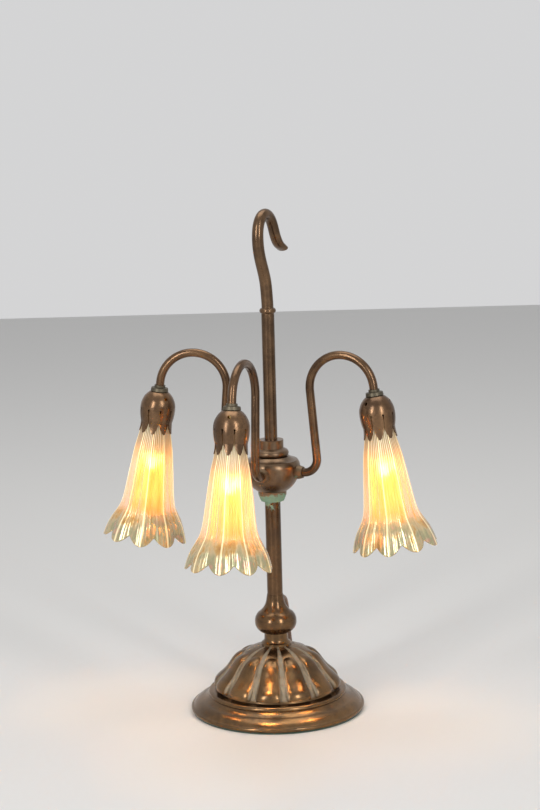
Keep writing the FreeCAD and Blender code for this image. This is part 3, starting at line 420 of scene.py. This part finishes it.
# heights of the brightest glow, low in the bulb, and of the dimmest, at its neck
glow_full_at, glow_least_at = 0.236, 0.276
glow_full, glow_least = 70.0, 16.0
lit_bulb, tree, shader = new_material("lit_bulb")
place = position(tree)
shader.inputs["Base Color"].default_value = (1.0, 0.93, 0.82, 1)
shader.inputs["Roughness"].default_value = 0.3
tree.links.new(blend_colour(tree, cloud(tree, place, 120.0, 2.0), (1.0, 0.66, 0.30), (1.0, 0.80, 0.50)),
               shader.inputs["Emission Color"])
tree.links.new(ramp(tree, axes_of(tree, place)["Z"], glow_full_at, glow_least_at, glow_full, glow_least),
               shader.inputs["Emission Strength"])
for side in SIDES:
    dress(bright_brass, "socket_shell_" + side, "bulb_cap_" + side)
    dress(porcelain, "socket_core_" + side)
    dress(lit_bulb, "bulb_glass_" + side)

# ---- shades -------------------------------------------------------------------------------------
# A shade is a mould-blown tulip with a ruffled rim and fine ribs, in gold lustre glass. Lit from
# inside it is amber with a white heart, and the flared rim shows its silver and green lustre. The
# heart is the lit bulb seen through the glass; the amber glow of the glass itself is painted
# emission, and its ribs are painted brighter.

shade_lobes = 9
shade_rows = 72
columns_per_lobe = 26
glass_thick = 0.0021
rim_bead = 0.0007
# the notch between two lobes, and how broad and round the lobes are
lobe_notch = 0.02
lobe_roundness = 0.4
# height in millimetres and sharpness of the ribs on the lobes and of those between them
rib_height, rib_sharpness = 0.45, 60
between_height, between_sharpness = 0.22, 40
ribs_rise_over = 1 / 4
# distance down the axis, mean radius, depth of the flutes, drop of the lobes, in millimetres
SHADE_LINE = [
    (27.0, 13.2, 0.0, 0.0), (36.0, 13.7, 0.1, 0.0), (47.0, 14.8, 0.3, 0.0), (62.0, 17.6, 0.5, 0.0),
    (82.0, 20.3, 0.6, 0.0), (100.0, 22.4, 0.7, 0.0), (112.0, 24.1, 0.9, 0.0), (119.0, 25.9, 1.2, 0.3),
    (125.0, 28.9, 1.8, 1.0), (131.0, 32.3, 2.5, 2.2), (138.0, 35.0, 3.1, 3.6), (144.6, 36.8, 3.4, 4.8),
]
SHADE_HANGS = {
    # bearing from the viewer, reach from the stem, height of the collar, lean, turn of the lobes
    "left": (-98.0, 0.10512, 0.31670, 7.5, 6.6),
    "middle": (-19.0, 0.10512, 0.31670, 7.5, 13.0),
    "right": (66.0, 0.10512, 0.31670, 7.5, 19.0),
}


def along_line(share):
    """Smooth value of the four columns of the shade's line, share 0 at the neck and 1 at the rim."""
    last = len(SHADE_LINE) - 1
    spot = share * last
    here = min(int(spot), last - 1)
    part = spot - here
    rows = [SHADE_LINE[min(max(here + step, 0), last)] for step in (-1, 0, 1, 2)]
    return [0.5 * (2 * start + (end - before) * part
                   + (2 * before - 5 * start + 4 * end - after) * part * part
                   + (3 * start - before - 3 * end + after) * part * part * part)
            for before, start, end, after in zip(*rows)]


def shade_mesh(name):
    """Closed wall of one shade: outer skin from neck to rim, rounded rim, inner skin back up."""
    columns = shade_lobes * columns_per_lobe
    skins = [(row / shade_rows, 0.0) for row in range(shade_rows + 1)]
    skins += [(1.0, 0.5), *[(row / shade_rows, 1.0) for row in range(shade_rows, -1, -1)]]
    points, faces = [], []
    for share, inset in skins:
        drop, mean, flute, sag = along_line(share)
        rib_share = min(share / ribs_rise_over, 1) * (1 - inset)
        lower = rim_bead if inset == 0.5 else 0.0
        for column in range(columns):
            angle = 2 * math.pi * column / columns
            lobe = shade_lobes * angle
            wave = 2 * (math.cos(lobe / 2) ** 2 + lobe_notch) ** lobe_roundness - 1
            rib = (rib_height * max(math.cos(lobe), 0) ** rib_sharpness
                   + between_height * max(math.cos(lobe + math.pi), 0) ** between_sharpness)
            radius = (mean + flute * wave + rib * rib_share) / 1000 - glass_thick * inset
            points.append((radius * math.cos(angle), radius * math.sin(angle),
                           (drop + sag * wave) / 1000 + lower))
    rings = len(skins)
    for ring in range(rings):
        below = (ring + 1) % rings
        for column in range(columns):
            after = (column + 1) % columns
            faces.append((ring * columns + column, below * columns + column,
                          below * columns + after, ring * columns + after))
    mesh = bpy.data.meshes.new(name)
    mesh.from_pydata(points, [], faces)
    mesh.shade_smooth()
    return mesh


# where the glass changes, and where its painted glow grows and fades, in millimetres down the shade
silver_neck = (62.0, 92.0)
lustre_flare = (119.0, 134.0)
painted_glow_grows = (38.0, 66.0)
painted_glow_fades = (100.0, 138.0)
glass_depth = 0.0006
LUSTRE_TINTS = [
    (0.34, (0.30, 0.16, 0.07)), (0.42, (0.55, 0.35, 0.12)), (0.48, (0.60, 0.50, 0.30)),
    (0.54, (0.34, 0.38, 0.22)), (0.60, (0.58, 0.36, 0.26)), (0.68, (0.80, 0.56, 0.20)),
]

lustre_glass, tree, shader = new_material("lustre_glass")
place = position(tree)
axes = axes_of(tree, place)
down = reckon(tree, "MULTIPLY", axes["Z"], 1000.0)
around = reckon(tree, "ARCTAN2", axes["Y"], axes["X"])
ribs = reckon(tree, "COSINE", reckon(tree, "MULTIPLY", around, shade_lobes))
fine_ribs = reckon(tree, "COSINE", reckon(tree, "MULTIPLY", around, 6 * shade_lobes))
# A thin line down the crest of each lobe, along which a highlight and a brighter glow are painted.
painted_rib_glint = ramp(tree, ribs, 0.955, 0.995)
streaks = cloud(tree, place, 95.0, 5.0, 0.62, stretch=(1.7, 1.7, 0.16))
swirls = cloud(tree, place, 60.0, 5.0, 0.62)
flare = ramp(tree, reckon(tree, "MULTIPLY_ADD", streaks, 14.0, down), *lustre_flare)
neck = ramp(tree, reckon(tree, "MULTIPLY_ADD", streaks, 20.0, down), *silver_neck, 0.9, 0.0)

amber = blend_colour(tree, ramp(tree, streaks, 0.35, 0.65), (1.0, 0.42, 0.09), (1.0, 0.60, 0.20))
silver = blend_colour(tree, ramp(tree, fine_ribs, -0.4, 0.9), (0.16, 0.17, 0.10), (0.62, 0.63, 0.50))
lustre = tree.nodes.new("ShaderNodeValToRGB")
while len(lustre.color_ramp.elements) < len(LUSTRE_TINTS):
    lustre.color_ramp.elements.new(0.5)
for element, (at, tint) in zip(lustre.color_ramp.elements, LUSTRE_TINTS):
    element.position = at
    element.color = (*tint, 1)
tree.links.new(reckon(tree, "MULTIPLY_ADD", swirls, 0.6, reckon(tree, "MULTIPLY", streaks, 0.4)),
               lustre.inputs["Fac"])
colour = blend_colour(tree, neck, amber, silver)
colour = blend_colour(tree, flare, colour, lustre.outputs["Color"])
# Painted highlight: the glass along the ribs is painted paler.
colour = blend_colour(tree, reckon(tree, "MULTIPLY", painted_rib_glint, 0.75), colour, (1.0, 0.86, 0.56))
tree.links.new(colour, shader.inputs["Base Color"])

worn = reckon(tree, "MAXIMUM", flare, neck)
tree.links.new(ramp(tree, flare, 0.0, 1.0, 0.42, 0.22), shader.inputs["Roughness"])
tree.links.new(reckon(tree, "MULTIPLY", worn, 0.6), shader.inputs["Metallic"])
tree.links.new(ramp(tree, worn, 0.0, 1.0, 0.80, 0.05), shader.inputs["Transmission Weight"])
shader.inputs["IOR"].default_value = 1.45
shader.inputs["Coat Weight"].default_value = 0.3
shader.inputs["Coat Roughness"].default_value = 0.08

# Painted glow: emission stands in for the bulb's light shining through the glass. It is amber, faint at
# the neck, strongest from 66 to 100 mm down, fading towards the rim, uneven with the streaks and brighter
# along the ribs.
tree.links.new(blend_colour(tree, painted_rib_glint, (1.0, 0.40, 0.085), (1.0, 0.74, 0.34)),
               shader.inputs["Emission Color"])
lit = reckon(tree, "MULTIPLY", ramp(tree, down, *painted_glow_grows, 0.12, 1.0),
             ramp(tree, down, *painted_glow_fades, 1.0, 0.10))
strength = reckon(tree, "MULTIPLY", lit, reckon(tree, "MULTIPLY_ADD", streaks, 0.6, 0.32))
tree.links.new(reckon(tree, "MULTIPLY_ADD", painted_rib_glint, 0.25, strength), shader.inputs["Emission Strength"])
ribbed = reckon(tree, "MULTIPLY_ADD", fine_ribs, 0.35, streaks)
tree.links.new(bump(tree, shader, ribbed, glass_depth, strength=0.5), shader.inputs["Coat Normal"])

for side in SIDES:
    bearing, reach, height, lean, turn = SHADE_HANGS[side]
    mesh = shade_mesh("tulip_shade_" + side)
    mesh.materials.append(lustre_glass)
    tulip = bpy.data.objects.new("tulip_shade_" + side, mesh)
    bpy.context.scene.collection.objects.link(tulip)
    tulip.matrix_world = (Matrix.Rotation(math.radians(bearing - 90), 4, "Z")
                          @ Matrix.Translation((reach, 0, height))
                          @ Matrix.Rotation(math.radians(180 - lean), 4, "Y")
                          @ Matrix.Rotation(math.radians(turn), 4, "Z"))
    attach(tulip, "lamp")
    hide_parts("shade_" + side)

# ---- wiring -------------------------------------------------------------------------------------
# One insulated wire climbs the stem and one runs through each arm, and a connector joins the four
# of them in the hub. None of it shows on the finished lamp.

wire_skin = speckled("wire_skin", 500.0, (0.02, 0.018, 0.016), (0.05, 0.045, 0.04), 0.5)
dress(wire_skin, "stem_wire", "wire_connector", *["arm_wire_" + side for side in SIDES])

# ---- cord ---------------------------------------------------------------------------------------
# A round flex in a brown woven cloth sleeve leaves the knop through a bushing, drops behind the
# foot to an inline switch, and is wound into a coil of two layers with its plug on top.

cord_diameter = 0.005
LEAD_ROUTE = [
    (4.48, 9.61, 107.0), (8.4, 18.6, 105.5), (10.5, 27.6, 96.0), (11.6, 36.0, 81.0),
    (12.2, 44.5, 64.0), (13.4, 53.0, 48.0), (16.0, 61.5, 34.0), (19.0, 70.0, 22.0),
    (21.0, 78.8, 12.6), (19.2, 86.0, 6.8), (14.6, 91.6, 4.2), (8.0, 94.8, 4.4), (1.0, 94.8, 6.0),
]
LINK_ROUTE = [
    (-31.0, 94.8, 6.0), (-37.6, 94.9, 4.8), (-44.2, 98.6, 3.2), (-48.2, 105.4, 2.6),
    (-48.4, 113.6, 2.6), (-44.8, 123.0, 2.6),
]
TAIL_ROUTE = [
    (36.0, 133.0, 9.6), (30.6, 124.6, 12.2), (22.0, 119.6, 14.6), (12.5, 118.0, 16.0),
    (5.0, 118.0, 16.0),
]
coil_middle = (0.0, 145.0)
coil_outer, coil_inner = 38.0, 15.25
coil_turns = 4.55
points_per_turn = 14
coil_start = math.radians(195.7)
first_layer = 2.6
layer_rise = 5.0
turns_to_rise = 0.5


def coil_points():
    """Turns on the table inwards, a rise of one cord's width, then turns on top outwards."""
    made = []
    steps = round(2 * coil_turns * points_per_turn)
    for step in range(steps + 1):
        travelled = 2 * coil_turns * step / steps
        angle = coil_start - 2 * math.pi * travelled
        from_change = travelled - coil_turns
        radius = coil_inner + (coil_outer - coil_inner) * abs(from_change) / coil_turns
        rise = min(max(from_change / turns_to_rise + 0.5, 0.0), 1.0)
        made.append((coil_middle[0] + radius * math.cos(angle),
                     coil_middle[1] + radius * math.sin(angle), first_layer + layer_rise * rise))
    return made


cord_route = LEAD_ROUTE + LINK_ROUTE + coil_points() + TAIL_ROUTE
cord_curve = bpy.data.curves.new("supply_cord", "CURVE")
cord_curve.dimensions = "3D"
cord_line = cord_curve.splines.new("NURBS")
cord_line.points.add(len(cord_route) - 1)
for point, where in zip(cord_line.points, cord_route):
    point.co = (*[part / 1000 for part in where], 1)
cord_line.order_u = 3
cord_line.use_endpoint_u = True
cord_line.resolution_u = 6
cord_curve.bevel_depth = cord_diameter / 2
cord_curve.bevel_resolution = 5
supply_cord = bpy.data.objects.new("supply_cord", cord_curve)
bpy.context.scene.collection.objects.link(supply_cord)

plaits_along = 620.0
plaits_round = 8.0
fuzz_to_the_metre = 1500.0
sleeve_depth = 0.0003
cloth, tree, shader = new_material("cord_cloth")
sleeve = axes_of(tree, tree.nodes.new("ShaderNodeTexCoord").outputs["UV"])
threads = []
for way in (1, -1):
    wound = reckon(tree, "MULTIPLY", sleeve["Y"], way * plaits_round * 2 * math.pi)
    wound = reckon(tree, "MULTIPLY_ADD", sleeve["X"], plaits_along * 2 * math.pi, wound)
    threads.append(reckon(tree, "SINE", wound))
weave = reckon(tree, "MULTIPLY", *threads)
fuzz = cloud(tree, position(tree), fuzz_to_the_metre, 6.0, 0.7)
thread = reckon(tree, "MULTIPLY_ADD", weave, 0.35, fuzz)
tree.links.new(blend_colour(tree, ramp(tree, thread, 0.2, 0.9), (0.15, 0.085, 0.055), (0.36, 0.22, 0.15)),
               shader.inputs["Base Color"])
shader.inputs["Roughness"].default_value = 0.85
shader.inputs["Sheen Weight"].default_value = 0.3
bump(tree, shader, thread, sleeve_depth)
cord_curve.materials.append(cloth)
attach(supply_cord, "lamp")
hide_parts("cord_lead", "cord_link", "cord_coil", "cord_tail")

# ---- bushing, switch and plug -------------------------------------------------------------------
# A small black bushing guards the cord at the knop. The switch and the plug are brown moulded
# plastic, and the switch's plain round wheel turns on a steel pin.


def moulded(name, colour, roughness):
    """Moulded plastic with faint swirls and a fine skin."""
    material, tree, shader = new_material(name)
    place = position(tree)
    swirl = cloud(tree, place, 70.0, 5.0, 0.6)
    tree.links.new(blend_colour(tree, swirl, tinted(colour, 0.6), tinted(colour, 1.4)),
                   shader.inputs["Base Color"])
    uneven = reckon(tree, "MULTIPLY_ADD", swirl, 0.15, roughness)
    tree.links.new(uneven, shader.inputs["Roughness"])
    bump(tree, shader, cloud(tree, place, 900.0, 3.0), 0.0002, strength=0.15)
    return material


dress(moulded("brown_plastic", (0.075, 0.032, 0.016), 0.25), "switch_body", "plug_body")
dress(moulded("black_plastic", (0.02, 0.017, 0.015), 0.35), "switch_wheel", "cord_bushing")
dress(zinc_steel, "switch_pin")
dress(bright_brass, "plug_blades")

# ---- finish -------------------------------------------------------------------------------------

bpy.context.view_layer.update()
